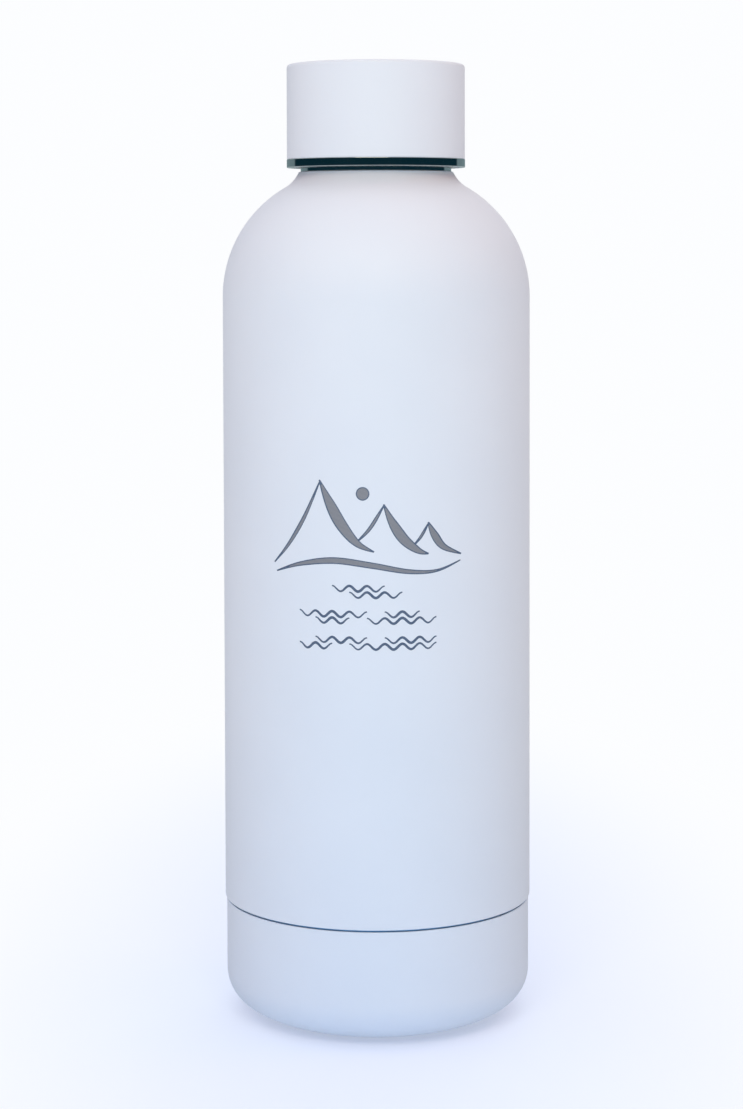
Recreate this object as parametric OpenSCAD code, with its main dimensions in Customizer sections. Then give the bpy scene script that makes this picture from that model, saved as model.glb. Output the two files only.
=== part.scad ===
// Double-wall insulated water bottle with a screw cap.
// Origin: centre of the foot, on the surface the bottle stands on. +Z runs up the bottle.
// Everything round is a revolved outline (x = radius, y = height), so walls are true surfaces.

/* [Bottle] */
// Overall height with the cap screwed down
total_h = 220; // [212:1:240]
// Diameter of the coated body
body_d = 71; // [69:0.5:73]
// Radius of the round shoulder
shoulder_r = 29.1; // [27:0.1:30]
// Radius of the hollow curve between shoulder and neck
neck_curve_r = 8; // [7:0.5:9]
// Sheet thickness of the outer shell
shell_wall = 0.5; // [0.4:0.1:0.7]

/* [Base] */
// Height of the seam between shell and base cup
seam_z = 27.2; // [25:0.1:30]
// Width of the open seam
seam_gap = 0.45; // [0.3:0.05:0.7]
// How far the base cup is set in from the body
base_inset = 0.33; // [0.2:0.01:0.5]
// Width of the rounded bottom edge
base_edge_w = 13; // [12:0.5:14]
// Height of the rounded bottom edge
base_edge_h = 10; // [9.5:0.1:10.5]
// Sheet thickness of the base cup
base_wall = 0.6; // [0.5:0.1:0.8]
// Diameter of the non-slip pad under the base
pad_d = 40.4; // [36:0.2:41]

/* [Flask] */
// Gap between the outer shell and the inner flask
vacuum_gap = 3; // [2.5:0.1:3.5]
// Sheet thickness of the inner flask
flask_wall = 0.4; // [0.3:0.1:0.5]
// Height of the drink space's floor
floor_z = 23; // [22.8:0.1:26]
// Diameter of the mouth
mouth_d = 30.2; // [29.8:0.1:30.4]

/* [Cap] */
// Diameter of the cap
cap_d = 41.1; // [41:0.1:42]
// Height of the coated part of the cap
cap_h = 21.8; // [21.5:0.1:24]
// Height of the polished ring under the cap
ring_h = 1.9; // [1.6:0.1:2.2]
// Height of the bare neck that shows under the ring
bare_neck_h = 1; // [0.8:0.1:1.4]
// Rise of the thread in one turn
thread_pitch = 4; // [4:0.1:4.2]

/* [Hidden] */

coat_colour = "#e3e8f0";
polished_colour = "#7f8b90";
satin_colour = "#b9bdc0";
silicone_colour = "#dfe3e6";
plastic_colour = "#eceef0";

// Gap between two pieces that are glued, welded or pressed together, and between loose neighbours
fit_gap = 0.02;
loose_gap = 0.05;

// Heights from the top down
mouth_rise = 14.8;
cap_bottom = total_h - cap_h;
ring_bottom = cap_bottom - ring_h;
shell_top = ring_bottom - bare_neck_h;
lip_z = ring_bottom + mouth_rise;
collar_top = lip_z - flask_wall;

// Body, shoulder and the swaged end that the base cup covers
body_r = body_d / 2;
neck_r = 17.1;
shoulder_x = body_r - shoulder_r;
neck_curve_x = neck_r + neck_curve_r;
neck_curve_rise = 3.34;
neck_curve_z = shell_top + neck_curve_rise;
shoulder_z = neck_curve_z - sqrt(pow(shoulder_r + neck_curve_r, 2) - pow(neck_curve_x - shoulder_x, 2));
shell_bottom = seam_z + seam_gap / 2;
shell_edge_r = 0.35;
swage_depth = 1.3;
swage_r = body_r - swage_depth;
swage_bottom = 13;

// Base cup and pad
base_r = body_r - base_inset;
base_top = seam_z - seam_gap / 2;
base_side_r = 8.5;
pad_proud = 0.3;
pad_t = 1.75;
pad_r = pad_d / 2;
pad_clearance = 0.15;
adhesive_bottom = 16;
adhesive_top = 24;

// Inner flask
flask_r = body_r - shell_wall - vacuum_gap;
flask_neck_r = mouth_d / 2 + flask_wall;
flask_curve_r = 9;
flask_weld_z = 46;
flask_edge_w = 12;
flask_edge_h = 10;
flask_side_r = 8;
lip_r = 16.9;

// Foil
foil_t = 0.12;
foil_bottom = flask_weld_z - 8;
foil_top = shoulder_z - 6;

// Threaded collar and thread
collar_bore_r = 16.1;
collar_skirt_r = 17.2;
collar_skirt_h = 1.5;
collar_skirt_bottom = shell_top - collar_skirt_h;
collar_band_r = 17.4;
collar_band_h = 2;
collar_band_top = shell_top + collar_band_h;
thread_root_bite = 0.2;
thread_base_w = 2;
thread_crest_w = 0.8;
thread_root_r = 17.05;
thread_crest_r = 18.1;
thread_turns = 1.5;
thread_start_z = collar_band_top + 1.8;
cap_thread_crest_r = 17.35;
cap_thread_turns = 1.25;
cap_thread_base_w = 1.8;
cap_thread_start_angle = 180;
cap_thread_start_z = thread_start_z + thread_pitch * (cap_thread_start_angle / 360 - 0.5);
thread_steps = 36;
thread_taper_angle = 40;

// Vacuum base with its getter and sealing bead
dish_r = 160;
dish_t = 0.5;
dish_top_z = 19.9;
dish_centre_z = dish_top_z - dish_r;
vacuum_base_r = swage_r - shell_wall - fit_gap;
vacuum_skirt_drop = 3.6;
well_r = 4.5;
well_rise = 1.2;
vent_r = 0.8;
getter_r = 5.5;
getter_h = 2;
getter_wall = 0.3;
getter_offset = 16;
getter_angle = asin(getter_offset / dish_r);
bead_h = 1;
bead_edge_r = 0.3;

// Cap
cap_r = cap_d / 2;
cap_wall = 0.5;
cap_edge_r = 0.8;
liner_r = cap_r - cap_wall - loose_gap;
liner_bore_r = 18.4;
liner_top = total_h - cap_wall - 2 * loose_gap;
lip_clearance = 0.03;
gasket_t = 1.97;
ceiling_z = lip_z + lip_clearance + gasket_t + 2 * loose_gap;
ceiling_t = 1.5;
plug_r = 14.3;
plug_wall = 1.4;
plug_depth = 10.1;
plug_bottom = lip_z - plug_depth;
plug_floor_t = 1.3;
plug_edge = [2.6, 2.2, 1.8];
plug_inner_edge = [1.4, 1.2, 0.9];
cover_t = 1.6;
cover_z = liner_top - cover_t;
spigot_r = 19.15;
ring_proud = 0.05;
ring_r = cap_r + ring_proud;
ring_edge_r = 0.25;
gasket_in_r = plug_r + 0.1;
gasket_out_r = 17.6;
gasket_edge_r = 0.35;

$fn = 96;

// ---- outlines ----

// A rectangle from radius r1 to r2 and height z1 to z2
module band(r1, r2, z1, z2) {
    translate([r1, z1]) square([r2 - r1, z2 - z1]);
}

// A band with its four corners rounded
module round_band(r1, r2, z1, z2, edge_r) {
    band(r1 + edge_r, r2 - edge_r, z1, z2);
    band(r1, r2, z1 + edge_r, z2 - edge_r);
    for (x = [r1 + edge_r, r2 - edge_r], y = [z1 + edge_r, z2 - edge_r]) {
        translate([x, y]) circle(edge_r);
    }
}

// A disc outline with its outer corners rounded
module round_disc(r, z1, z2, edge_r) {
    band(0, r - edge_r, z1, z2);
    band(0, r, z1 + edge_r, z2 - edge_r);
    for (y = [z1 + edge_r, z2 - edge_r]) {
        translate([r - edge_r, y]) circle(edge_r);
    }
}

// Everything inside a bottle wall: straight side, round shoulder, hollow curve, straight neck.
// The two arcs meet on the line that joins their centres.
module bottle_outline(side_r, arc_r, curve_r, neck_side_r, z1, z2) {
    arc_x = side_r - arc_r;
    curve_x = neck_side_r + curve_r;
    curve_z = shoulder_z + sqrt(pow(arc_r + curve_r, 2) - pow(curve_x - arc_x, 2));
    intersection() {
        union() {
            band(0, side_r, z1, shoulder_z);
            translate([arc_x, shoulder_z]) circle(arc_r, $fn = 180);
            difference() {
                polygon([[0, shoulder_z - 1], [arc_x, shoulder_z], [curve_x, curve_z], [0, curve_z]]);
                translate([curve_x, curve_z]) circle(curve_r, $fn = 180);
            }
            band(0, neck_side_r, curve_z - 1, curve_z + total_h);
        }
        band(0, side_r + 1, z1, z2);
    }
}

// Everything inside a cup: straight side, and a bottom edge of two arcs that flow into the flat floor.
// The floor arc holds the side arc, and they touch on the line through their centres.
module cup_outline(side_r, z1, z2, edge_w, edge_h, side_arc_r) {
    floor_arc_r = (pow(edge_w - side_arc_r, 2) + pow(edge_h, 2) - pow(side_arc_r, 2))
        / (2 * (edge_h - side_arc_r));
    side_centre = [side_r - side_arc_r, z1 + edge_h];
    floor_centre = [side_r - edge_w, z1 + floor_arc_r];
    reach = 2 * floor_arc_r / (floor_arc_r - side_arc_r);
    far_point = floor_centre + reach * (side_centre - floor_centre);
    band(0, side_r, side_centre[1], z2);
    band(0, floor_centre[0], z1, side_centre[1] + 0.1);
    translate(side_centre) circle(side_arc_r, $fn = 120);
    intersection() {
        translate(floor_centre) circle(floor_arc_r, $fn = 180);
        polygon([floor_centre, far_point, [floor_centre[0] - 1, z1 - floor_arc_r], floor_centre - [1, 0]]);
    }
}

// A cup outline whose bottom edge is given as [width, height, radius of the side arc]
module plug_outline(side_r, z1, z2, edge) {
    cup_outline(side_r, z1, z2, edge[0], edge[1], edge[2]);
}

// ---- thread ----

// One cross-section of a thread ridge at a given angle: two points in the wall and two at the crest
function ridge_ring(wall_r, crest_r, z, angle, base_w, crest_w) = [
    for (p = [[wall_r, -base_w / 2], [crest_r, -crest_w / 2], [crest_r, crest_w / 2], [wall_r, base_w / 2]])
        [p[0] * cos(angle), p[0] * sin(angle), z + p[1]]
];

// Share of its full height that the ridge has, so that it runs out smoothly at both ends
function ridge_share(angle, sweep) = max(0.05, min(1, angle / thread_taper_angle, (sweep - angle) / thread_taper_angle));

// A right-hand thread ridge that winds up a wall. The crest is outside the wall, or inside it for a nut.
module thread_ridge(wall_r, crest_r, start_z, start_angle, turns, base_w, crest_w) {
    sweep = 360 * turns;
    steps = round(thread_steps * turns);
    rings = [
        for (i = [0 : steps])
            let (a = sweep * i / steps)
                ridge_ring(
                    wall_r,
                    wall_r + (crest_r - wall_r) * ridge_share(a, sweep),
                    start_z + thread_pitch * a / 360,
                    start_angle + a,
                    base_w,
                    crest_w
                )
    ];
    points = [for (ring = rings, p = ring) p];
    sides = [
        for (i = [0 : steps - 1], j = [0 : 3])
            let (k = (j + 1) % 4)
                [4 * i + j, 4 * i + k, 4 * i + 4 + k, 4 * i + 4 + j]
    ];
    ends = [[3, 2, 1, 0], [for (j = [0 : 3]) 4 * steps + j]];
    faces = concat(sides, ends);
    outside = crest_r > wall_r;
    polyhedron(points, [for (f = faces) outside ? f : [for (n = [3 : -1 : 0]) f[n]]], convexity = 8);
}

// ---- vessel ----

// Coated outer shell: body, shoulder and neck, with its lower end swaged in to fit the base cup
module outer_shell() {
    color(coat_colour) rotate_extrude() difference() {
        union() {
            band(0, swage_r, swage_bottom, shell_bottom + shell_wall);
            band(0, body_r - shell_edge_r, shell_bottom, shell_bottom + shell_edge_r);
            translate([body_r - shell_edge_r, shell_bottom + shell_edge_r]) circle(shell_edge_r);
            bottle_outline(body_r, shoulder_r, neck_curve_r, neck_r, shell_bottom + shell_edge_r, shell_top);
        }
        band(-1, swage_r - shell_wall, swage_bottom - 1, shell_bottom + 2 * shell_wall);
        bottle_outline(body_r - shell_wall, shoulder_r - shell_wall, neck_curve_r + shell_wall,
            neck_r - shell_wall, shell_bottom + shell_wall, neck_curve_z);
    }
}

// Inner flask: straight tube, shoulder, neck, and the lip turned out over the collar
module inner_wall() {
    color(satin_colour) rotate_extrude() difference() {
        union() {
            bottle_outline(flask_r, flask_r - shoulder_x, flask_curve_r, flask_neck_r, flask_weld_z, lip_z);
            band(0, lip_r, collar_top, lip_z);
        }
        bottle_outline(flask_r - flask_wall, flask_r - shoulder_x - flask_wall, flask_curve_r + flask_wall,
            flask_neck_r - flask_wall, flask_weld_z - 1, lip_z + 1);
    }
}

// Drawn bottom of the inner flask, welded to the tube
module inner_base() {
    color(satin_colour) rotate_extrude() difference() {
        cup_outline(flask_r, floor_z - flask_wall, flask_weld_z, flask_edge_w, flask_edge_h, flask_side_r);
        cup_outline(flask_r - flask_wall, floor_z, flask_weld_z + 1, flask_edge_w - flask_wall,
            flask_edge_h - flask_wall, flask_side_r - flask_wall);
    }
}

// Threaded mouth ring, welded into the shell's neck and under the flask's lip
module neck_collar() {
    color(polished_colour) {
        rotate_extrude() difference() {
            union() {
                band(0, collar_skirt_r, collar_skirt_bottom, shell_top);
                band(0, collar_band_r, shell_top, collar_band_top);
                band(0, thread_root_r, collar_band_top, collar_top);
            }
            band(-1, collar_bore_r, collar_skirt_bottom - 1, collar_top + 1);
        }
        thread_ridge(thread_root_r - thread_root_bite, thread_crest_r, thread_start_z, 0, thread_turns,
            thread_base_w, thread_crest_w);
    }
}

// Copper foil wrapped round the flask against radiated heat
module radiation_foil() {
    color("#b87333") rotate_extrude() {
        band(flask_r + fit_gap, flask_r + fit_gap + foil_t, foil_bottom, foil_top);
    }
}

// Dished bottom of the outer vessel, with a well and a vent hole for pumping the air out
module vacuum_base() {
    color(satin_colour) rotate_extrude() difference() {
        union() {
            intersection() {
                difference() {
                    translate([0, dish_centre_z]) circle(dish_r, $fn = 360);
                    translate([0, dish_centre_z]) circle(dish_r - dish_t, $fn = 360);
                }
                band(well_r - dish_t, vacuum_base_r, 0, floor_z);
            }
            band(vacuum_base_r - dish_t, vacuum_base_r, swage_bottom, dish_top_z - vacuum_skirt_drop);
            band(well_r - dish_t, well_r, dish_top_z - 0.3, dish_top_z + well_rise);
            band(0, well_r, dish_top_z + well_rise - dish_t, dish_top_z + well_rise);
        }
        band(-1, vent_r, 0, floor_z);
    }
}

// Small cup that holds the getter on the vacuum side of the dished bottom
module getter_cup() {
    color(satin_colour) on_dish() rotate_extrude() difference() {
        band(0, getter_r, fit_gap, getter_h);
        band(-1, getter_r - getter_wall, fit_gap + getter_wall, getter_h + 1);
    }
}

// Pressed getter pellet that takes up the last gas
module getter_pellet() {
    color("#4b4b4e") on_dish() rotate_extrude() {
        band(0, getter_r - getter_wall - 2 * loose_gap, 2 * fit_gap + getter_wall, getter_h - 0.4);
    }
}

// Places a piece on the dished bottom's upper face, beside the well
module on_dish() {
    translate([0, 0, dish_centre_z]) rotate([0, getter_angle, 0]) translate([0, 0, dish_r]) children();
}

// Glass bead melted into the well and the vent hole
module sealing_bead() {
    well_roof_z = dish_top_z + well_rise - dish_t;
    color("#5a4a3c") rotate_extrude() {
        band(0, vent_r - fit_gap, well_roof_z - bead_edge_r, well_roof_z + dish_t);
        round_disc(well_r - dish_t - 0.4, well_roof_z - bead_h, well_roof_z - fit_gap, bead_edge_r);
    }
}

// Ring of adhesive between the swaged end and the base cup
module base_adhesive() {
    color("#c9b98a") rotate_extrude() {
        band(swage_r + fit_gap, base_r - base_wall - fit_gap, adhesive_bottom, adhesive_top);
    }
}

// Coated base cup, stepped up under the middle to hold the pad
module base_cup() {
    pad_recess_r = pad_r + pad_clearance;
    pad_roof_z = pad_t + fit_gap;
    color(coat_colour) rotate_extrude() difference() {
        cup_outline(base_r, pad_proud, base_top, base_edge_w, base_edge_h, base_side_r);
        difference() {
            cup_outline(base_r - base_wall, pad_proud + base_wall, base_top + 1, base_edge_w - base_wall,
                base_edge_h - base_wall, base_side_r - base_wall);
            band(0, pad_recess_r + base_wall, 0, pad_roof_z + base_wall);
        }
        band(-1, pad_recess_r, -1, pad_roof_z);
    }
}

// Silicone pad that the bottle stands on
module foot_pad() {
    color(silicone_colour) rotate_extrude() round_disc(pad_r, 0, pad_t, 0.3);
}

// ---- cap ----

// Silicone washer between the lip and the cap
module mouth_gasket() {
    color(silicone_colour) rotate_extrude() {
        round_band(gasket_in_r, gasket_out_r, lip_z + lip_clearance, lip_z + lip_clearance + gasket_t,
            gasket_edge_r);
    }
}

// Coated outer skin of the cap
module cap_shell() {
    color(coat_colour) rotate_extrude() difference() {
        union() {
            band(0, cap_r, cap_bottom, total_h - cap_edge_r);
            band(0, cap_r - cap_edge_r, cap_bottom, total_h);
            translate([cap_r - cap_edge_r, total_h - cap_edge_r]) circle(cap_edge_r);
        }
        band(-1, cap_r - cap_wall, cap_bottom - 1, total_h - cap_edge_r);
        band(-1, cap_r - cap_edge_r, cap_bottom - 1, total_h - cap_wall);
        translate([cap_r - cap_edge_r, total_h - cap_edge_r]) circle(cap_edge_r - cap_wall);
    }
}

// Moulded liner: threaded skirt, ceiling over the gasket, and a hollow plug that dips into the mouth
module cap_liner() {
    color(plastic_colour) {
        rotate_extrude() {
            band(liner_bore_r, liner_r, cap_bottom + fit_gap, cover_z - fit_gap);
            band(liner_bore_r + 0.2, liner_r, cover_z - fit_gap, liner_top - 0.5);
            band(liner_bore_r, spigot_r, ring_bottom + 2 * loose_gap, cap_bottom + fit_gap);
            band(plug_r - plug_wall, liner_bore_r, ceiling_z, ceiling_z + ceiling_t);
            difference() {
                plug_outline(plug_r, plug_bottom, cover_z - fit_gap, plug_edge);
                plug_outline(plug_r - plug_wall, plug_bottom + plug_floor_t, cover_z, plug_inner_edge);
            }
        }
        thread_ridge(liner_bore_r + thread_root_bite, cap_thread_crest_r, cap_thread_start_z,
            cap_thread_start_angle, cap_thread_turns, cap_thread_base_w, thread_crest_w);
    }
}

// Polished ring round the liner's spigot, under the coated skin
module cap_ring() {
    color(polished_colour) rotate_extrude() {
        round_band(spigot_r + loose_gap, ring_r, ring_bottom, cap_bottom, ring_edge_r);
    }
}

// Insulating foam in the plug
module cap_foam() {
    color("#f2efe2") rotate_extrude() {
        plug_outline(plug_r - plug_wall - loose_gap, plug_bottom + plug_floor_t + loose_gap,
            cover_z - 2 * loose_gap, plug_inner_edge);
    }
}

// Disc that closes the foam chamber under the skin
module insulation_cover() {
    color(plastic_colour) rotate_extrude() {
        band(0, liner_bore_r + 0.2 - loose_gap, cover_z, liner_top);
    }
}

outer_shell();
inner_wall();
inner_base();
neck_collar();
radiation_foil();
vacuum_base();
getter_cup();
getter_pellet();
sealing_bead();
base_adhesive();
base_cup();
foot_pad();
mouth_gasket();
cap_shell();
cap_liner();
cap_ring();
cap_foam();
insulation_cover();
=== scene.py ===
"""Looks for the insulated bottle: lathe-turned skins, an engraved motif, threads, seals and their materials.

Outlines are in millimetres, as (radius, height) in the row frame. MM turns them into metres.
"""

import math

import bmesh
import bpy
from mathutils import Euler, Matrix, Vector
from mathutils.geometry import delaunay_2d_cdt


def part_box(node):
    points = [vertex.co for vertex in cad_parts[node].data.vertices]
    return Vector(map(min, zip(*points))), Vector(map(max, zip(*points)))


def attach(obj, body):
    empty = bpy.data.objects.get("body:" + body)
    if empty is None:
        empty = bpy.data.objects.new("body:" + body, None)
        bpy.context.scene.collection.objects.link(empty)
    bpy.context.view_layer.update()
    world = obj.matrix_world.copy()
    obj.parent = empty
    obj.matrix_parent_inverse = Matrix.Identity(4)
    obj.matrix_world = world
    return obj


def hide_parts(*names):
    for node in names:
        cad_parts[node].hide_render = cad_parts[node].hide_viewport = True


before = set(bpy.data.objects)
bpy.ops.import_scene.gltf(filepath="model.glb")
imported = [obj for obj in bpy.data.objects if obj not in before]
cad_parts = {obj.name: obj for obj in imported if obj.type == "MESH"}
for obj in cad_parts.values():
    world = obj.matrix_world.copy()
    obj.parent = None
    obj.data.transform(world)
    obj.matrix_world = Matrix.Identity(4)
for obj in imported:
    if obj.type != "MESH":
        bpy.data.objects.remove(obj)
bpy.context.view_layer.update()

MM = 0.001
SEGMENTS = 288
SHARP_ANGLE = math.radians(40)
THREAD_STEP = 0.07


def cad(node):
    """Outer radius, lowest and highest point of a CAD node, in millimetres."""
    low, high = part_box(node)
    return high.x / MM, low.z / MM, high.z / MM


# ---- sizes: outer ones from the frame, inner ones as the CAD source has them ----

BODY_R, SWAGE_BOTTOM, SHELL_TOP = cad("outer_shell")
BASE_R, BASE_BOTTOM, BASE_TOP = cad("base_cup")
PAD_R, _, PAD_TOP = cad("foot_pad")
CAP_R, CAP_BOTTOM, CAP_TOP = cad("cap_shell")
RING_R, RING_BOTTOM, RING_TOP = cad("cap_ring")
FLASK_R, WELD_Z, LIP_Z = cad("inner_wall")
FLOOR_OUT_R, FLOOR_BOTTOM, _ = cad("inner_base")
GASKET_R, GASKET_BOTTOM, GASKET_TOP = cad("mouth_gasket")
_, COLLAR_BOTTOM, COLLAR_TOP = cad("neck_collar")
LINER_R, LINER_BOTTOM, LINER_TOP = cad("cap_liner")
COVER_Z = cad("insulation_cover")[1]

SHELL_WALL = 0.5
FLASK_WALL = 0.4
BASE_WALL = 0.6
CAP_WALL = 0.5
SEAM_GAP = 0.45
SHELL_BOTTOM = BASE_TOP + SEAM_GAP
SWAGE_DEPTH = 1.3
SWAGE_R = BODY_R - SWAGE_DEPTH
SHOULDER_R = 29.1
SHOULDER_X = BODY_R - SHOULDER_R
NECK_CURVE_R = 8
NECK_R = 17.1
NECK_CURVE_X = NECK_R + NECK_CURVE_R
NECK_CURVE_RISE = 3.34
NECK_CURVE_Z = SHELL_TOP + NECK_CURVE_RISE
SHOULDER_Z = NECK_CURVE_Z - math.sqrt((SHOULDER_R + NECK_CURVE_R) ** 2 - (NECK_CURVE_X - SHOULDER_X) ** 2)
PITCH = 4.0
MOUTH_R = 15.1
STRAIGHT_LOW, STRAIGHT_HIGH = 60.0, 150.0


# ---- outlines ----


def arc(x, z, r, start, end, steps):
    """Points of an arc from one angle to another, in degrees, both ends included."""
    angles = [math.radians(start + (end - start) * i / steps) for i in range(steps + 1)]
    return [(x + r * math.cos(a), z + r * math.sin(a)) for a in angles]


def cup_edge(side_r, floor_z, edge_w, edge_h, side_arc_r, steps=14):
    """The rounded bottom edge of a cup, from the side down to the floor: a tight arc and then a wide one."""
    wide_r = ((edge_w - side_arc_r) ** 2 + edge_h**2 - side_arc_r**2) / (2 * (edge_h - side_arc_r))
    centre = (side_r - side_arc_r, floor_z + edge_h)
    turn = -math.degrees(math.acos((edge_w - side_arc_r) / (wide_r - side_arc_r)))
    tight = arc(*centre, side_arc_r, 0, turn, steps)
    wide = arc(side_r - edge_w, floor_z + wide_r, wide_r, turn, -90, steps)
    return tight + wide[1:]


def bottle_side(side_r, arc_r, curve_r, neck_r, top_z):
    """The shoulder's arc and the neck's hollow curve, from the straight side up to top_z."""
    arc_x = side_r - arc_r
    curve_x = neck_r + curve_r
    curve_z = SHOULDER_Z + math.sqrt((arc_r + curve_r) ** 2 - (curve_x - arc_x) ** 2)
    join = math.degrees(math.atan2(curve_z - SHOULDER_Z, curve_x - arc_x))
    end = 180.0
    if top_z < curve_z:
        end = 180 + math.degrees(math.asin((curve_z - top_z) / curve_r))
    points = arc(arc_x, SHOULDER_Z, arc_r, 0, join, 48)
    points += arc(curve_x, curve_z, curve_r, 180 + join, end, 20)[1:]
    if top_z > curve_z:
        points.append((neck_r, top_z))
    return points


def braced(outline):
    """The outline, up to its last point, with a point just inside both ends of each straight between fillets.
    It keeps the straights flat, so that only the fillets shade round."""
    near, result = 0.02, []
    lengths = [math.dist(p, q) for p, q in zip(outline, outline[1:])]
    for i, (p, q) in enumerate(zip(outline, outline[1:])):
        result.append(p)
        beside = min(lengths[i - 1], lengths[(i + 1) % len(lengths)])
        if lengths[i] > max(0.25, 3 * beside):
            for t in (near / lengths[i], 1 - near / lengths[i]):
                result.append((p[0] + (q[0] - p[0]) * t, p[1] + (q[1] - p[1]) * t))
    return result


# ---- meshes ----


def finish_mesh(name, verts, faces, materials, face_slots=None):
    """A shaded, outward-facing object from points in millimetres."""
    mesh = bpy.data.meshes.new(name)
    mesh.from_pydata([(x * MM, y * MM, z * MM) for x, y, z in verts], [], faces)
    for m in materials:
        mesh.materials.append(m)
    if face_slots is not None:
        mesh.polygons.foreach_set("material_index", face_slots)
    bm = bmesh.new()
    bm.from_mesh(mesh)
    bmesh.ops.remove_doubles(bm, verts=bm.verts, dist=1e-7)
    bmesh.ops.recalc_face_normals(bm, faces=bm.faces)
    bm.to_mesh(mesh)
    bm.free()
    mesh.shade_smooth()
    mesh.set_sharp_from_angle(angle=SHARP_ANGLE)
    obj = bpy.data.objects.new(name, mesh)
    bpy.context.scene.collection.objects.link(obj)
    return obj


def turned(outline, radius_at=None):
    """Points and faces of an outline turned about Z. The outline is closed, or starts and ends on the axis.
    radius_at(z, angle, r) can change a point's radius, as a thread does."""
    verts, rings = [], []
    angles = [2 * math.pi * k / SEGMENTS for k in range(SEGMENTS)]
    for r, z in outline:
        if r < 1e-6:
            rings.append([len(verts)] * SEGMENTS)
            verts.append((0, 0, z))
            continue
        rings.append(range(len(verts), len(verts) + SEGMENTS))
        for a in angles:
            q = radius_at(z, a, r) if radius_at else r
            verts.append((q * math.sin(a), -q * math.cos(a), z))
    faces, owners = [], []
    for i in range(len(outline)):
        lower, upper = rings[i], rings[(i + 1) % len(rings)]
        for k in range(SEGMENTS):
            n = (k + 1) % SEGMENTS
            corners = [lower[k], lower[n], upper[n], upper[k]]
            corners = list(dict.fromkeys(corners))
            if len(corners) > 2:
                faces.append(corners)
                owners.append(i)
    return verts, faces, owners


def lathe(name, stretches, materials, radius_at=None):
    """A turned piece. stretches is a list of (points, material index), in order round the outline."""
    outline, slots = [], []
    for (points, index), (following, _) in zip(stretches, stretches[1:] + stretches[:1]):
        points = braced([*points, following[0]])
        outline += points
        slots += [index] * len(points)
    verts, faces, owners = turned(outline, radius_at)
    return finish_mesh(name, verts, faces, materials, [slots[o] for o in owners])


def place(obj, body, slot, *nodes):
    """Puts a piece on its body, in place of the CAD nodes it stands for. Its slot is not used."""
    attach(obj, body)
    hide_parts(*nodes)
    return obj


# ---- materials ----


class Shading:
    """Short calls that add and link nodes in any node tree."""

    def __init__(self, tree):
        self.tree = tree

    def add(self, kind, inputs=None, **settings):
        node = self.tree.nodes.new(kind)
        for key, value in settings.items():
            setattr(node, key, value)
        for key, value in (inputs or {}).items():
            if isinstance(value, bpy.types.NodeSocket):
                self.tree.links.new(value, node.inputs[key])
            else:
                node.inputs[key].default_value = value
        return node

    def ramp(self, value, low, high):
        inputs = {"Value": value, "From Min": low, "From Max": high}
        return self.add("ShaderNodeMapRange", inputs, interpolation_type="SMOOTHSTEP").outputs["Result"]

    def blend(self, factor, first, second):
        sides = [v if isinstance(v, bpy.types.NodeSocket) else (*v, 1) for v in (first, second)]
        return self.add("ShaderNodeMix", {0: factor, 6: sides[0], 7: sides[1]}, data_type="RGBA").outputs[2]


class Nodes(Shading):
    """A material under construction, with the node patterns that the materials share."""

    def __init__(self, name):
        self.material = bpy.data.materials.new(name)
        self.material.use_nodes = True
        super().__init__(self.material.node_tree)
        self.shader = self.tree.nodes["Principled BSDF"]
        self.coords = self.add("ShaderNodeTexCoord").outputs["Object"]

    def noise(self, scale, detail=3, roughness=0.5, stretch=(1, 1, 1)):
        mapped = self.add("ShaderNodeMapping", {"Vector": self.coords, "Scale": stretch})
        inputs = {"Vector": mapped.outputs["Vector"], "Scale": scale}
        inputs.update({"Detail": detail, "Roughness": roughness})
        return self.add("ShaderNodeTexNoise", inputs).outputs["Fac"]

    def spread(self, value, low, high):
        """Maps the middle of a noise's range to low..high."""
        inputs = {"Value": value, "From Min": 0.3, "From Max": 0.7, "To Min": low, "To Max": high}
        return self.add("ShaderNodeMapRange", inputs).outputs["Result"]

    def mix(self, factor, first, second):
        node = self.add("ShaderNodeMix", {"Factor": factor}, data_type="RGBA")
        node.inputs[6].default_value = (*first, 1)
        node.inputs[7].default_value = (*second, 1)
        return node.outputs[2]

    def bump(self, height, distance, strength=1.0, after=None):
        inputs = {"Height": height, "Distance": distance, "Strength": strength}
        if after is not None:
            inputs["Normal"] = after
        return self.add("ShaderNodeBump", inputs).outputs["Normal"]

    def set(self, **values):
        """Sets the shader's own sockets. Underscores stand for spaces."""
        for key, value in values.items():
            socket = self.shader.inputs[key.replace("_", " ")]
            if isinstance(value, bpy.types.NodeSocket):
                self.tree.links.new(value, socket)
            else:
                socket.default_value = value


def coat_material():
    """Soft-touch powder coat: pale and cool, with a fine grain and a faint bloom at grazing angles."""
    n = Nodes("soft_coat")
    cloudy = n.noise(38, 4)
    grain = n.noise(5200, 2)
    ripple = n.noise(900, 3)
    fine = n.bump(grain, 0.00003, 0.55)
    n.set(
        Base_Color=n.mix(n.spread(cloudy, 0, 1), (0.775, 0.80, 0.85), (0.80, 0.82, 0.865)),
        Roughness=n.spread(ripple, 0.50, 0.60),
        Normal=n.bump(ripple, 0.00005, 0.35, fine),
        Sheen_Weight=0.12,
        Sheen_Roughness=0.5,
    )
    return n.material


def turned_steel(name, base, tint, roughness, line_scale, line_depth):
    """Bare steel with fine lines that run round the axis, and a cloudy smear of handling."""
    n = Nodes(name)
    lines = n.noise(line_scale, 3, 0.7, (0.02, 0.02, 1))
    smear = n.noise(160, 5)
    n.set(
        Base_Color=n.mix(n.spread(smear, 0, 1), base, tint),
        Metallic=1.0,
        Roughness=n.spread(smear, roughness * 0.8, roughness * 1.3),
        Normal=n.bump(lines, line_depth, 0.4),
    )
    return n.material


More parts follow.
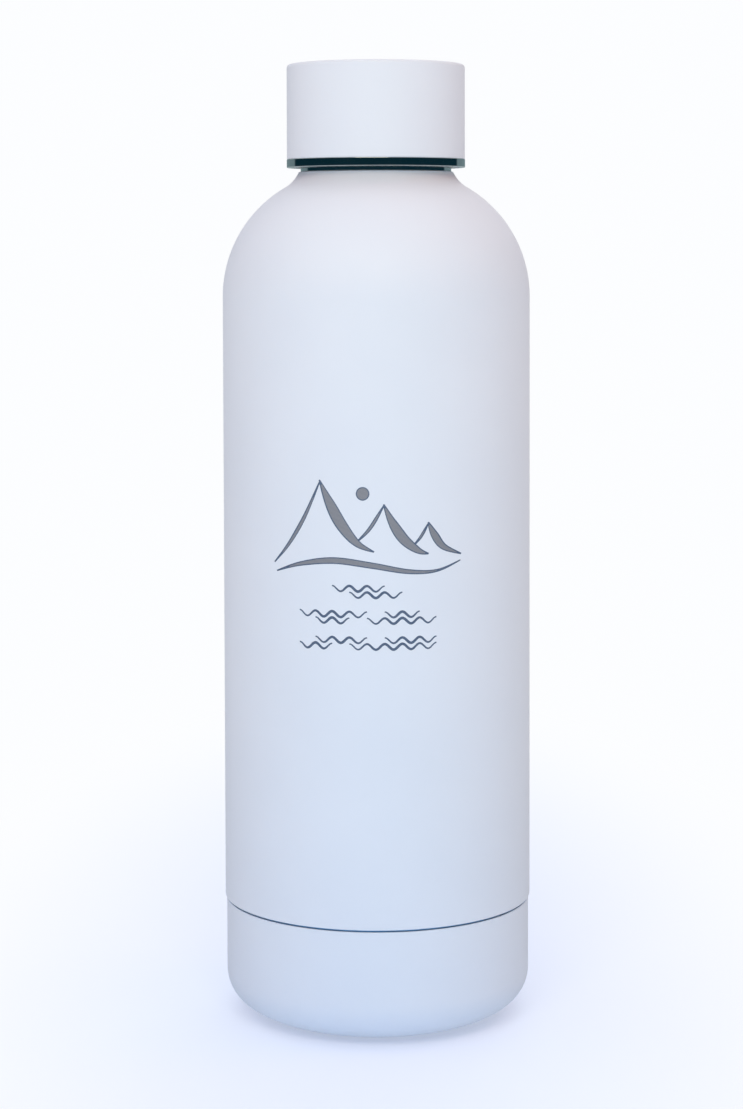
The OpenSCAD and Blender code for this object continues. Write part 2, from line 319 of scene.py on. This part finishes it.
def engraved_material():
    """Steel laid bare by the laser: matt grey, with the close scan lines of the beam."""
    n = Nodes("laser_fill")
    tilted = n.add("ShaderNodeMapping", {"Vector": n.coords, "Rotation": (0, math.radians(8), 0)})
    wave = n.add(
        "ShaderNodeTexWave",
        {"Vector": tilted.outputs["Vector"], "Scale": 1150, "Distortion": 0.6, "Detail": 1},
        bands_direction="Z",
    )
    n.set(
        Base_Color=n.mix(wave.outputs["Fac"], (0.25, 0.255, 0.285), (0.34, 0.34, 0.365)),
        Metallic=0.35,
        Roughness=n.spread(n.noise(2500), 0.45, 0.65),
        Normal=n.bump(wave.outputs["Fac"], 0.00002, 0.5),
    )
    return n.material


def scorch_shade_material():
    """Dark bluish rim along the cut and on its thinnest strokes: painted shade of the recess walls, with some
    laser scorch.
    """
    n = Nodes("laser_rim_shade")
    n.set(
        Base_Color=n.mix(n.spread(n.noise(1500), 0, 1), (0.095, 0.14, 0.225), (0.135, 0.18, 0.265)),
        Metallic=0.2,
        Roughness=n.spread(n.noise(2600), 0.5, 0.7),
    )
    return n.material


def moulded(name, first, second, roughness, grain=2600, subsurface=0.0, depth=0.00002):
    """Moulded plastic or rubber: faint flow marks and a fine mould grain."""
    n = Nodes(name)
    flow = n.noise(70, 4, 0.6, (1, 1, 0.4))
    n.set(
        Base_Color=n.mix(n.spread(flow, 0, 1), first, second),
        Roughness=n.spread(n.noise(grain * 0.3), roughness - 0.05, roughness + 0.06),
        Normal=n.bump(n.noise(grain), depth, 0.6),
        Subsurface_Weight=subsurface,
        Subsurface_Scale=0.002,
    )
    return n.material


coat = coat_material()
ring_steel = turned_steel("ring_steel", (0.50, 0.54, 0.55), (0.56, 0.59, 0.60), 0.06, 9000, 0.0000008)
neck_steel = turned_steel("neck_steel", (0.50, 0.53, 0.54), (0.56, 0.58, 0.59), 0.06, 7000, 0.000001)
thread_steel = turned_steel("thread_steel", (0.56, 0.57, 0.58), (0.62, 0.63, 0.63), 0.2, 4000, 0.000006)
flask_steel = turned_steel("flask_steel", (0.56, 0.56, 0.55), (0.64, 0.63, 0.61), 0.34, 2600, 0.00002)
inner_steel = turned_steel("inner_steel", (0.40, 0.41, 0.42), (0.48, 0.48, 0.48), 0.42, 2200, 0.00002)
copper = turned_steel("copper_foil", (0.80, 0.42, 0.25), (0.88, 0.50, 0.31), 0.28, 900, 0.00004)
laser_fill = engraved_material()
laser_rim_shade = scorch_shade_material()
# Blue coat for the seam swage: painted shade, the bluish shadow down in the seam groove, not a coat of its
# own.
seam_shade_coat = moulded("seam_shade_coat", (0.50, 0.70, 0.92), (0.56, 0.76, 0.96), 0.5)
liner_plastic = moulded("liner_plastic", (0.74, 0.75, 0.76), (0.79, 0.80, 0.80), 0.42, subsurface=0.15)
silicone = moulded("silicone", (0.62, 0.64, 0.66), (0.68, 0.70, 0.71), 0.55, 3200, subsurface=0.2)
pad_rubber = moulded("pad_rubber", (0.42, 0.45, 0.49), (0.47, 0.50, 0.54), 0.68, 2400)
foam = moulded("rigid_foam", (0.80, 0.77, 0.66), (0.87, 0.84, 0.74), 0.9, 1300, depth=0.0002)
getter_powder = moulded("getter_powder", (0.05, 0.05, 0.055), (0.09, 0.09, 0.095), 0.85, 3000, depth=0.00008)
adhesive = moulded("adhesive", (0.48, 0.40, 0.22), (0.58, 0.49, 0.28), 0.35, 500)
sealing_glass = moulded("sealing_glass", (0.05, 0.03, 0.02), (0.09, 0.055, 0.035), 0.15, 700)


# ---- engraved motif: three brushed peaks, a sun, a shore line and rows of ripples ----
# Drawn flat: u runs round the body in millimetres, from the front, and z is height.

ENGRAVING_DEPTH = 0.1
# Width of the dark rim inside each cut: painted shade of the recess wall.
RIM_WIDTH = 0.24
PANEL_LOW, PANEL_HIGH = 84.0, 132.0
PANEL_FIRST, PANEL_COUNT = -42, 78  # segments of the body, counted from its front
# The fourth slot paints the dark shade at the cut's edges.
# The last slot paints the seam's shade in blue.
COAT, BARE, FILL, SHADE_RIM, SEAM_SHADE = range(5)  # the shell's material slots


def catmull_rom(t, a, b, c, d):
    """One coordinate of the curve between b and c, at a share t of the way."""
    slope, bend = 2 * a - 5 * b + 4 * c - d, 3 * b - a - 3 * c + d
    return 0.5 * (2 * b + (c - a) * t + slope * t**2 + bend * t**3)


def smooth_line(points, steps=10):
    """A Catmull-Rom curve through given points."""
    ends = [points[0], *points, points[-1]]
    line = []
    for p0, p1, p2, p3 in zip(ends, ends[1:], ends[2:], ends[3:]):
        for i in range(steps):
            t = i / steps
            line.append(tuple(catmull_rom(t, *axis) for axis in zip(p0, p1, p2, p3)))
    return [*line, points[-1]]


class Brush:
    """A pen stroke along a smooth line: thin at its ends, and widest at a share of its length."""

    def __init__(self, points, widest, thinnest=0.3, peak=0.5):
        self.line = [Vector(p) for p in smooth_line(points)]
        self.halves = []
        for i in range(len(self.line)):
            t = i / (len(self.line) - 1)
            s = t / (2 * peak) if t < peak else 0.5 + (t - peak) / (2 * (1 - peak))
            self.halves.append((thinnest + (widest - thinnest) * math.sin(math.pi * s) ** 1.3) / 2)

    def outline(self, trim=0.0):
        """Anticlockwise outline with a rim of that width left out, or None where nothing is left."""
        left, right = [], []
        last = len(self.line) - 1
        for i, (p, half) in enumerate(zip(self.line, self.halves)):
            if trim and half < trim + 0.07:
                continue
            along = self.line[min(i + 1, last)] - self.line[max(i - 1, 0)]
            side = Vector((-along.y, along.x)).normalized() * (half - trim)
            left.append(p + side)
            right.append(p - side)
        if len(left) < 4:
            return None
        return right + left[::-1]


class Disc:
    """A filled round spot."""

    def __init__(self, u, z, r):
        self.centre, self.r = (u, z), r

    def outline(self, trim=0.0):
        return [Vector(p) for p in arc(*self.centre, self.r - trim, 0, 352, 44)]


def ripples(z, tiers):
    """A row of water ripples. Each tier has its height in the row, and the start and number of its waves."""
    length, height = 3.9, 0.62
    strokes = []
    for rise, groups in tiers:
        for start, waves in groups:
            points = []
            for i in range(8 * waves + 1):
                points.append((start + length * i / 8, z + rise + height * math.cos(math.pi * i / 4)))
            strokes.append(Brush(points, 0.6, 0.3))
    return strokes


SHORE = [(-24.0, 106.4), (-17.5, 108.4), (-9.5, 109.4), (-1.0, 108.4)]
SHORE += [(7.0, 107.0), (13.5, 107.0), (19.4, 109.0)]
MOTIF = [
    Brush([(-24.6, 108.3), (-20.6, 112.6), (-16.6, 118.7), (-12.7, 126.9)], 1.0, 0.32, 0.55),
    Brush([(-12.9, 127.1), (-10.7, 122.4), (-7.9, 117.4), (-4.4, 113.3), (-0.6, 111.4)], 2.7, 0.35, 0.42),
    Brush([(-4.6, 113.4), (-1.5, 116.6), (1.6, 121.7)], 0.85, 0.3, 0.6),
    Brush([(1.5, 121.9), (3.4, 117.9), (6.0, 114.1), (9.2, 111.6), (11.6, 110.8)], 2.4, 0.35, 0.42),
    Brush([(7.9, 112.5), (9.8, 114.6), (11.6, 117.6)], 0.7, 0.3, 0.6),
    Brush([(11.5, 117.8), (13.0, 114.9), (15.2, 112.2), (19.6, 110.4)], 1.9, 0.35, 0.42),
    Brush(SHORE, 1.5, 0.3, 0.36),
    Disc(-3.1, 124.2, 1.5),
]
MOTIF += ripples(102.6, [(0.7, [(-10.0, 3)]), (-0.7, [(-6.1, 3)])])
MOTIF += ripples(96.9, [(0.7, [(-17.8, 4), (1.7, 2)]), (-0.7, [(-13.9, 2), (-2.2, 4)])])
MOTIF += ripples(91.2, [(0.7, [(-13.9, 3), (1.7, 3)]), (-0.7, [(-17.8, 2), (-6.1, 5)])])


def engraved_panel(first, count, z1, z2):
    """The piece of body wall that holds the motif, from one segment line on for a number of segments.
    Returns points, faces, and each face's part: 0 wall, 1 fill, 2 rim in painted shade."""
    step = 2 * math.pi / SEGMENTS
    lines = [(first + k) * step * BODY_R for k in range(count + 1)]
    points = [Vector((u, z)) for u in lines for z in (z1, z2)]
    edges = [(2 * k, 2 * k + 1) for k in range(count + 1)]
    edges += [(2 * k + s, 2 * k + 2 + s) for k in range(count) for s in (0, 1)]
    outer = [mark.outline() for mark in MOTIF]
    inner = [mark.outline(RIM_WIDTH) for mark in MOTIF]
    loops = []
    for outline in outer + [o for o in inner if o]:
        loops.append(list(range(len(points), len(points) + len(outline))))
        points += outline
    flat, _, faces, _, _, origins = delaunay_2d_cdt(points, edges, loops, 0, 1e-5)
    parts = [0 if not origin else 1 if max(origin) >= len(outer) else 2 for origin in origins]
    return flat, faces, parts


def wrap(u, z, r):
    """A point of the flat drawing on a cylinder of that radius, u measured at the body's surface."""
    a = u / BODY_R
    return r * math.sin(a), -r * math.cos(a), z


def make_shell():
    """Coated shell with the motif cut into its coat, a blue painted shade in the seam, and bare steel inside.
    """
    edge, rim = 0.35, 0.2
    side = bottle_side(BODY_R, SHOULDER_R, NECK_CURVE_R, NECK_R, SHELL_TOP - rim)
    top_r = side[-1][0]
    wall = SHELL_WALL
    inner_side = bottle_side(BODY_R - wall, SHOULDER_R - wall, NECK_CURVE_R + wall, NECK_R - wall, SHELL_TOP)
    swage = [(SWAGE_R - SHELL_WALL, SWAGE_BOTTOM), (SWAGE_R, SWAGE_BOTTOM), (SWAGE_R, SHELL_BOTTOM)]
    heights = (STRAIGHT_LOW, PANEL_LOW, PANEL_HIGH, STRAIGHT_HIGH)
    outside = arc(BODY_R - edge, SHELL_BOTTOM + edge, edge, -90, 0, 6)
    outside += [(BODY_R, z) for z in (SHELL_BOTTOM + edge + 0.02, *heights, SHOULDER_Z - 0.02)] + side
    outside += arc(top_r - rim, SHELL_TOP - rim, rim, 10, 90, 5)
    inside = inner_side[::-1] + [(BODY_R - SHELL_WALL, SHELL_BOTTOM + SHELL_WALL)]
    inside += [(SWAGE_R - SHELL_WALL, SHELL_BOTTOM + SHELL_WALL)]
    inside = braced([*inside, swage[0]])
    outline = swage + outside + inside
    # The swage in the seam takes the blue painted seam shade.
    slots = [BARE] + [SEAM_SHADE] * (len(swage) - 1) + [COAT] * len(outside) + [BARE] * len(inside)
    verts, faces, owners = turned(outline)

    low_ring = outline.index((BODY_R, PANEL_LOW))
    panel = {(low_ring, k % SEGMENTS) for k in range(PANEL_FIRST, PANEL_FIRST + PANEL_COUNT)}
    keep, face_slots = [], []
    for i, (face, owner) in enumerate(zip(faces, owners)):
        if (owner, i % SEGMENTS) not in panel:
            keep.append(face)
            face_slots.append(slots[owner])
    flat, cells, parts = engraved_panel(PANEL_FIRST, PANEL_COUNT, PANEL_LOW, PANEL_HIGH)
    start = len(verts)
    verts += [wrap(p.x, p.y, BODY_R) for p in flat]
    floor = {}
    cut_sides = {}
    for cell, part in zip(cells, parts):
        if part == 0:
            keep.append([start + v for v in cell])
            face_slots.append(COAT)
            continue
        for v in cell:
            if v not in floor:
                floor[v] = len(verts)
                verts.append(wrap(flat[v].x, flat[v].y, BODY_R - ENGRAVING_DEPTH))
        keep.append([floor[v] for v in cell])
        face_slots.append(FILL if part == 1 else SHADE_RIM)
        for a, b in zip(cell, [*cell[1:], cell[0]]):
            cut_sides[frozenset((a, b))] = cut_sides.get(frozenset((a, b)), 0) + 1
    # The cut's walls take the dark rim colour too: painted shade.
    for side_edge, uses in cut_sides.items():
        if uses == 1:
            a, b = side_edge
            keep.append([start + a, start + b, floor[b], floor[a]])
            face_slots.append(SHADE_RIM)
    materials = [coat, inner_steel, laser_fill, laser_rim_shade, seam_shade_coat]
    return smooth_body(finish_mesh("bottle_shell", verts, keep, materials, face_slots))


def smooth_body(shell):
    """Gives the straight body its true round normals, so that the cut-up panel shades like the rest."""
    mesh = shell.data
    wanted = [Vector(c.vector) for c in mesh.corner_normals]
    for face in mesh.polygons:
        centre = face.center
        radius = math.hypot(centre.x, centre.y)
        outward = Vector((centre.x, centre.y, 0)) / radius
        straight = STRAIGHT_LOW * MM < centre.z < STRAIGHT_HIGH * MM and radius > (BODY_R - 0.2) * MM
        if straight and face.normal.dot(outward) > 0.9:
            for loop in face.loop_indices:
                p = mesh.vertices[mesh.loops[loop].vertex_index].co
                wanted[loop] = Vector((p.x, p.y, 0)).normalized()
    mesh.normals_split_custom_set(wanted)
    return shell


# ---- vessel pieces ----


def make_base_cup():
    """Coated base cup with its soft bottom edge, and the step that holds the pad."""
    hem = 0.22
    recess_r = PAD_R + 0.15
    roof_z = PAD_TOP + 0.02
    outside = arc(BASE_R - hem, BASE_TOP - hem, hem, 90, 0, 6)
    edge_w, edge_h, arc_r = 13, 10, 8.5
    outside += cup_edge(BASE_R, BASE_BOTTOM, edge_w, edge_h, arc_r)
    recess = arc(recess_r + 0.2, BASE_BOTTOM + 0.2, 0.2, -90, -180, 4)
    recess += [(recess_r, roof_z), (0, roof_z)]
    floor_z = BASE_BOTTOM + BASE_WALL
    well_r, well_z = recess_r + BASE_WALL, roof_z + BASE_WALL
    inside = [(0, well_z), (well_r, well_z), (well_r, floor_z)]
    inner_edge = [size - BASE_WALL for size in (edge_w, edge_h, arc_r)]
    inside += cup_edge(BASE_R - BASE_WALL, floor_z, *inner_edge)[::-1]
    inside += [(BASE_R - BASE_WALL, BASE_TOP)]
    return lathe("base_cup_skin", [(outside, 0), (recess, 0), (inside, 1)], [coat, inner_steel])


def make_pad():
    """Silicone pad with ring grooves and twelve channels moulded into its underside."""
    edge, groove = 0.3, 0.45
    rings, ring_pitch, channels = 96, 2.7, 12
    ribbed_r, hub_r, channel_half = PAD_R - 1.6, 3.5, 0.45
    outline = [(0, PAD_TOP)] + arc(PAD_R - edge, PAD_TOP - edge, edge, 90, 0, 5)
    outline += arc(PAD_R - edge, edge, edge, 0, -90, 5)
    under = [((PAD_R - edge) * (1 - i / rings), 0) for i in range(1, rings)]
    verts, faces, _ = turned(outline + under + [(0, 0)])
    shaped = []
    for x, y, z in verts:
        r = math.hypot(x, y)
        if z < 1e-6 and r < ribbed_r:
            ring_wave = 0.5 + 0.5 * math.cos(2 * math.pi * (ribbed_r - r) / ring_pitch)
            channel = abs(math.remainder(math.atan2(y, x), 2 * math.pi / channels)) * r
            ribs = max(0.0, min(1.0, (ring_wave - 0.32) * 3.2))
            if r > hub_r:
                ribs = min(ribs, max(0.0, min(1.0, (channel - channel_half) * 3)))
            z = groove * (1 - ribs)
        shaped.append((x, y, z))
    return finish_mesh("base_pad", shaped, faces, [pad_rubber])


def thread_share(angle, z, start_z, start_angle, turns, base_w, crest_w):
    """How far a thread ridge stands up at a place, from 0 to 1, with soft flanks and run-outs."""
    sweep, best = 2 * math.pi * turns, 0.0
    local = (angle - start_angle) % (2 * math.pi)
    while local <= sweep:
        away = abs(z - start_z - PITCH * local / (2 * math.pi))
        flank = (base_w / 2 - away) / ((base_w - crest_w) / 2)
        flank = max(0.0, min(1.0, flank))
        ends = max(0.0, min(1.0, local / 0.7, (sweep - local) / 0.7))
        best = max(best, flank * flank * (3 - 2 * flank) * ends * (2 - ends))
        local += 2 * math.pi
    return best


def make_collar():
    """Threaded mouth ring: plain skirt, bare band, thread, and a bead under the lip."""
    band_top, root_r, crest_r = SHELL_TOP + 2, 17.05, 18.1
    steps = round((COLLAR_TOP - band_top) / THREAD_STEP)
    wall = [(root_r, band_top + (COLLAR_TOP - band_top) * i / steps) for i in range(1, steps)]
    lower = [(16.1, COLLAR_BOTTOM), (17.2, COLLAR_BOTTOM), (17.2, SHELL_TOP)]
    lower += arc(17.4 - 0.1, SHELL_TOP + 0.1, 0.1, -90, 0, 4)
    lower += arc(17.4 - 0.3, band_top - 0.3, 0.3, 0, 80, 5)
    wall += [(root_r, COLLAR_TOP), (16.1, COLLAR_TOP)]

    def ridge(z, angle, r):
        if r != root_r:
            return r
        return r + (crest_r - root_r) * thread_share(angle, z, band_top + 1.8, 0, 1.5, 2.0, 0.8)

    return lathe("neck_ring", [(lower, 0), (wall, 1)], [neck_steel, thread_steel], ridge)


def make_flask():
    """Inner flask: satin tube, shoulder, neck and the lip rolled out over the collar."""
    lip_r, edge = 16.9, 0.18
    outer = bottle_side(FLASK_R, FLASK_R - SHOULDER_X, 9, MOUTH_R + FLASK_WALL, COLLAR_TOP)
    inner = bottle_side(
        FLASK_R - FLASK_WALL, FLASK_R - SHOULDER_X - FLASK_WALL, 9 + FLASK_WALL, MOUTH_R, LIP_Z - 0.3
    )
    lip = [(lip_r - edge, COLLAR_TOP)] + arc(lip_r - edge, LIP_Z - edge, edge, 0, 90, 4)
    lip += arc(MOUTH_R + 0.3, LIP_Z - 0.3, 0.3, 90, 180, 5)
    outline = [(FLASK_R - FLASK_WALL, WELD_Z), (FLASK_R, WELD_Z)] + outer + lip + inner[::-1][1:]
    return lathe("flask_wall", [(outline, 0)], [flask_steel])


def make_flask_floor():
    """Drawn bottom of the flask, with two shallow pressed rings in its floor and the weld bead at its rim."""
    floor_z = FLOOR_BOTTOM + FLASK_WALL
    edge = (12, 10, 8)
    outside = [(FLOOR_OUT_R, WELD_Z)] + cup_edge(FLOOR_OUT_R, FLOOR_BOTTOM, *edge) + [(0, FLOOR_BOTTOM)]
    pressed = [(0, floor_z + 0.25), (4.6, floor_z + 0.25), (5.4, floor_z + 0.02)]
    pressed += [(13.4, floor_z + 0.02), (14.1, floor_z + 0.2), (15.1, floor_z + 0.2), (15.8, floor_z + 0.02)]
    weld_r = FLOOR_OUT_R - FLASK_WALL
    inside = pressed + cup_edge(weld_r, floor_z, *[size - FLASK_WALL for size in edge])[::-1]
    inside += [(weld_r, WELD_Z - 0.7), (weld_r - 0.07, WELD_Z - 0.35), (weld_r - 0.07, WELD_Z)]
    return lathe("flask_floor", [(outside, 0), (inside, 0)], [flask_steel])


# ---- cap pieces ----


def make_gasket():
    """Silicone washer with two fine sealing beads on its underside."""
    inner_r, edge = 14.4, 0.35
    bead_half, bead_r = 0.3, 0.12
    bead_z = GASKET_BOTTOM + bead_r
    top = arc(GASKET_R - edge, GASKET_TOP - edge, edge, 0, 90, 5)
    top += arc(inner_r + edge, GASKET_TOP - edge, edge, 90, 180, 5)
    bottom = arc(inner_r + edge, GASKET_BOTTOM + edge, edge, 180, 250, 4)
    for bead_x in (15.5, 16.5):
        bottom += [(bead_x - bead_half, bead_z)]
        bottom += arc(bead_x, bead_z, bead_r, 180, 360, 6)
        bottom += [(bead_x + bead_half, bead_z)]
    bottom += arc(GASKET_R - edge, GASKET_BOTTOM + edge, edge, -70, 0, 4)
    return lathe("gasket_ring", [(top + bottom, 0)], [silicone])


def make_cap_skin():
    """Coated cap: straight side, soft top edge, and a turned-in lower edge over the ring."""
    edge, hem = 0.8, 0.22
    inner_r = CAP_R - CAP_WALL
    outside = arc(CAP_R - hem, CAP_BOTTOM + hem, hem, -90, 0, 6)
    outside += arc(CAP_R - edge, CAP_TOP - edge, edge, 0, 90, 10) + [(0, CAP_TOP)]
    inside = [(0, CAP_TOP - CAP_WALL)] + arc(inner_r - 0.3, CAP_TOP - CAP_WALL - 0.3, 0.3, 90, 0, 4)
    inside += [(inner_r, CAP_BOTTOM)]
    return lathe("cap_skin", [(outside, 0), (inside, 1)], [coat, inner_steel])


def make_cap_ring():
    """Polished ring: a flat band between a crisp upper edge and a broken lower edge."""
    low, high = 0.13, 0.1
    inner_r = 19.2
    outline = [(inner_r, RING_BOTTOM)] + arc(RING_R - low, RING_BOTTOM + low, low, -90, 0, 7)
    outline += arc(RING_R - high, RING_TOP - high, high, 0, 90, 5) + [(inner_r, RING_TOP)]
    return lathe("cap_trim", [(outline, 0)], [ring_steel])


def make_liner():
    """Moulded liner: threaded bore, ceiling over the gasket, and the plug that dips into the mouth."""
    bore_r, crest_r, spigot_r, plug_r, plug_wall = 18.4, 17.35, 19.15, 14.3, 1.4
    ceiling_z, plug_bottom = LIP_Z + 2.1, LIP_Z - 10.1
    low_z, high_z = LINER_BOTTOM + 1.2, ceiling_z - 0.6
    steps = round((high_z - low_z) / THREAD_STEP)
    bore = [(bore_r, high_z + (low_z - high_z) * i / steps) for i in range(steps + 1)]
    plug_top = COVER_Z - 0.02
    outer = [(spigot_r, LINER_BOTTOM + 0.2), (spigot_r, CAP_BOTTOM + 0.02), (LINER_R, CAP_BOTTOM + 0.02)]
    outer += [(LINER_R, LINER_TOP), (bore_r + 0.2, LINER_TOP), (bore_r + 0.2, ceiling_z + 1.4)]
    outer += [(plug_r, ceiling_z + 1.4), (plug_r, plug_top), (plug_r - plug_wall, plug_top)]
    pocket = cup_edge(plug_r - plug_wall, plug_bottom + 1.3, 1.4, 1.2, 0.9, 4) + [(0, plug_bottom + 1.3)]
    gate = [(0, plug_bottom + 0.02), (1.1, plug_bottom + 0.02), (1.3, plug_bottom + 0.25)]
    gate += [(6.6, plug_bottom + 0.25), (6.9, plug_bottom)]
    plug = gate + cup_edge(plug_r, plug_bottom, 2.6, 2.2, 1.8, 6)[::-1]
    under = arc(plug_r + 0.3, ceiling_z - 0.3, 0.3, 180, 90, 4)
    under += arc(bore_r - 0.5, ceiling_z - 0.5, 0.5, 90, 0, 4)
    mouth = arc(bore_r + 0.3, LINER_BOTTOM + 0.3, 0.3, 180, 270, 4)
    outline = outer + pocket + plug + under + bore + mouth

    def ridge(z, angle, r):
        if r != bore_r or z > high_z:
            return r
        return r + (crest_r - bore_r) * thread_share(angle, z, SHELL_TOP + 3.8, math.pi, 1.25, 1.9, 0.9)

    return lathe("cap_inner", [(outline, 0)], [liner_plastic], ridge)


def dress(node, material):
    """Gives a CAD node that stays its material."""
    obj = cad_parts[node]
    obj.data.materials.clear()
    obj.data.materials.append(material)


place(make_shell(), "bottle", "soft_coat", "outer_shell")
place(make_base_cup(), "bottle", "soft_coat", "base_cup")
place(make_pad(), "bottle", "silicone", "foot_pad")
place(make_collar(), "bottle", "polished_steel", "neck_collar")
place(make_flask(), "bottle", "satin_steel", "inner_wall")
place(make_flask_floor(), "bottle", "satin_steel", "inner_base")
place(make_gasket(), "seal", "silicone", "mouth_gasket")
place(make_cap_skin(), "cap", "soft_coat", "cap_shell")
place(make_cap_ring(), "cap", "polished_steel", "cap_ring")
place(make_liner(), "cap", "cap_plastic", "cap_liner")
dress("radiation_foil", copper)
dress("vacuum_base", inner_steel)
dress("getter_cup", inner_steel)
dress("getter_pellet", getter_powder)
dress("sealing_bead", sealing_glass)
dress("base_adhesive", adhesive)
dress("cap_foam", foam)
dress("insulation_cover", liner_plastic)


# ---- floor, light and camera ----
# Light colours are red, green, blue. The area lights' are also their strength, in watts.

WHITE = (0.975, 0.985, 1.0)
SKY_LEFT = (0.14, 0.11, 0.27)
SKY_RIGHT = (0.15, 0.09, 0.07)
ZENITH = (1.08, 1.2, 1.34)
MIRRORED_SKY = (0.8, 0.84, 0.88)
WALL = (0.2, 0.28, 0.3)
DARK_ROOM = (0.004, 0.028, 0.042)
# Near-floor glow: painted light that lifts the shade round the bottle's foot and lights the base from below.
FLOOR_GLOW = (0.265, 0.275, 0.305)
# Bluish near-floor colour: painted shade round and in front of the bottle.
FLOOR_SHADE_COLOUR = (0.61, 0.665, 0.77)
# Dim teal floor seen only in reflections: a painted reflection for the polished steel.
FLOOR_SHEEN = ((0.16, 0.22, 0.24), (0.55, 0.6, 0.62))
KEY = (1.38, 1.18, 0.92)
LOW = (0, 0.28, 0.55)
BACK = (0.7, 0.74, 0.8)
LEFT = (0.06, 0.02, 0.02)
RIGHT = (0.16, 0.03, 0.03)


def floor_material():
    """Pale floor that fades to the backdrop's white, with a painted bluish shade and a painted glow near the
    bottle. Dim in reflections, clear from below.
    """
    n = Nodes("floor_pale")
    # Stretched across, so that the painted shade reaches further in front of the bottle than to its sides.
    shade_pool_coords = n.add("ShaderNodeMapping", {"Vector": n.coords, "Scale": (3.2, 1, 1)}).outputs["Vector"]
    distance = n.add("ShaderNodeVectorMath", {0: shade_pool_coords}, operation="LENGTH").outputs["Value"]
    n.set(
        Base_Color=(*FLOOR_SHADE_COLOUR, 1),
        Roughness=0.8,
        Specular_IOR_Level=0.1,
        Emission_Color=(*FLOOR_GLOW, 1),
        Emission_Strength=1.0,
    )
    glow = n.add("ShaderNodeEmission", {"Color": (*WHITE, 1), "Strength": 1.0})
    fade = n.ramp(distance, 0.03, 0.42)
    blend = n.add("ShaderNodeMixShader", {0: fade, 1: n.shader.outputs[0], 2: glow.outputs[0]})
    sheen = n.blend(n.ramp(distance, 0.15, 1.3), *FLOOR_SHEEN)
    dim = n.add("ShaderNodeEmission", {"Color": sheen, "Strength": 1.0})
    mirrored = n.add("ShaderNodeLightPath").outputs["Is Glossy Ray"]
    blend = n.add("ShaderNodeMixShader", {0: mirrored, 1: blend.outputs[0], 2: dim.outputs[0]})
    below = n.add("ShaderNodeNewGeometry").outputs["Backfacing"]
    clear = n.add("ShaderNodeBsdfTransparent").outputs[0]
    sides = n.add("ShaderNodeMixShader", {0: below, 1: blend.outputs[0], 2: clear})
    n.tree.links.new(sides.outputs[0], n.tree.nodes["Material Output"].inputs["Surface"])
    return n.material


def make_floor():
    mesh = bpy.data.meshes.new("floor")
    bm = bmesh.new()
    bmesh.ops.create_circle(bm, cap_ends=True, radius=6.0, segments=96)
    bm.to_mesh(mesh)
    bm.free()
    floor = bpy.data.objects.new("floor", mesh)
    bpy.context.scene.collection.objects.link(floor)
    mesh.materials.append(floor_material())


def area_light(name, place_at, size, strength, aim, mirrored=False):
    """A soft rectangular light. Only a mirrored one shows up in polished steel."""
    light = bpy.data.lights.new(name, "AREA")
    light.shape = "RECTANGLE"
    light.size, light.size_y = size
    light.energy = max(strength)
    light.color = [c / max(strength) for c in strength]
    obj = bpy.data.objects.new(name, light)
    obj.location = place_at
    obj.visible_glossy = mirrored
    obj.rotation_euler = (Vector(aim) - Vector(place_at)).to_track_quat("-Z", "Y").to_euler()
    bpy.context.scene.collection.objects.link(obj)


def make_world():
    """White for the eye. As light: a tinted sky, brighter overhead, a wall behind and a dark room in front.
    Polished steel mirrors a plain pale sky in place of the tinted one."""
    world = bpy.data.worlds.new("studio")
    bpy.context.scene.world = world
    world.use_nodes = True
    s = Shading(world.node_tree)
    way = s.add("ShaderNodeSeparateXYZ", {0: s.add("ShaderNodeTexCoord").outputs["Generated"]}).outputs
    sky = s.blend(s.ramp(way["X"], -0.8, 0.8), SKY_LEFT, SKY_RIGHT)
    sky = s.blend(s.ramp(way["Z"], 0.45, 0.9), sky, ZENITH)
    path = s.add("ShaderNodeLightPath").outputs
    sky = s.blend(path["Is Glossy Ray"], sky, MIRRORED_SKY)
    low = s.blend(s.ramp(way["Y"], 0.60, 0.66), DARK_ROOM, WALL)
    light = s.blend(s.ramp(way["Z"], 0.16, 0.34), low, sky)
    seen = s.blend(path["Is Camera Ray"], light, WHITE)
    s.tree.links.new(seen, s.tree.nodes["Background"].inputs["Color"])


def make_camera():
    """A long lens a little under the cap's height, with some upward shift, as the framing needs."""
    frame_h = 1109
    focal_px, shift, tilt, roll, offset_px = 2588.0, -0.18, 2.674, -0.136, 4.87
    data = bpy.data.cameras.new("camera")
    data.sensor_width = 36
    data.lens = focal_px * data.sensor_width / frame_h
    data.shift_y = shift
    data.shift_x = -offset_px / frame_h
    camera = bpy.data.objects.new("camera", data)
    camera.location = (0, -0.5997, 0.181)
    camera.rotation_euler = Euler((math.radians(90 - tilt), 0, 0))
    bpy.context.scene.collection.objects.link(camera)
    camera.rotation_euler.rotate_axis("Z", math.radians(roll))
    bpy.context.scene.camera = camera


make_floor()
make_world()
area_light("key", (-0.05, -0.5, 0.46), (0.4, 0.25), KEY, (0, 0, 0.2), mirrored=True)
area_light("low", (0, -0.45, 0.02), (0.6, 0.06), LOW, (0, 0, 0.02))
area_light("back", (0.15, 0.6, 0.4), (0.5, 0.4), BACK, (0, 0, 0.12))
area_light("left", (-0.36, 0, 0.42), (0.2, 0.2), LEFT, (0, 0, 0.19))
area_light("right", (0.36, 0, 0.42), (0.2, 0.2), RIGHT, (0, 0, 0.19))
make_camera()
bpy.context.scene.view_settings.view_transform = "Standard"
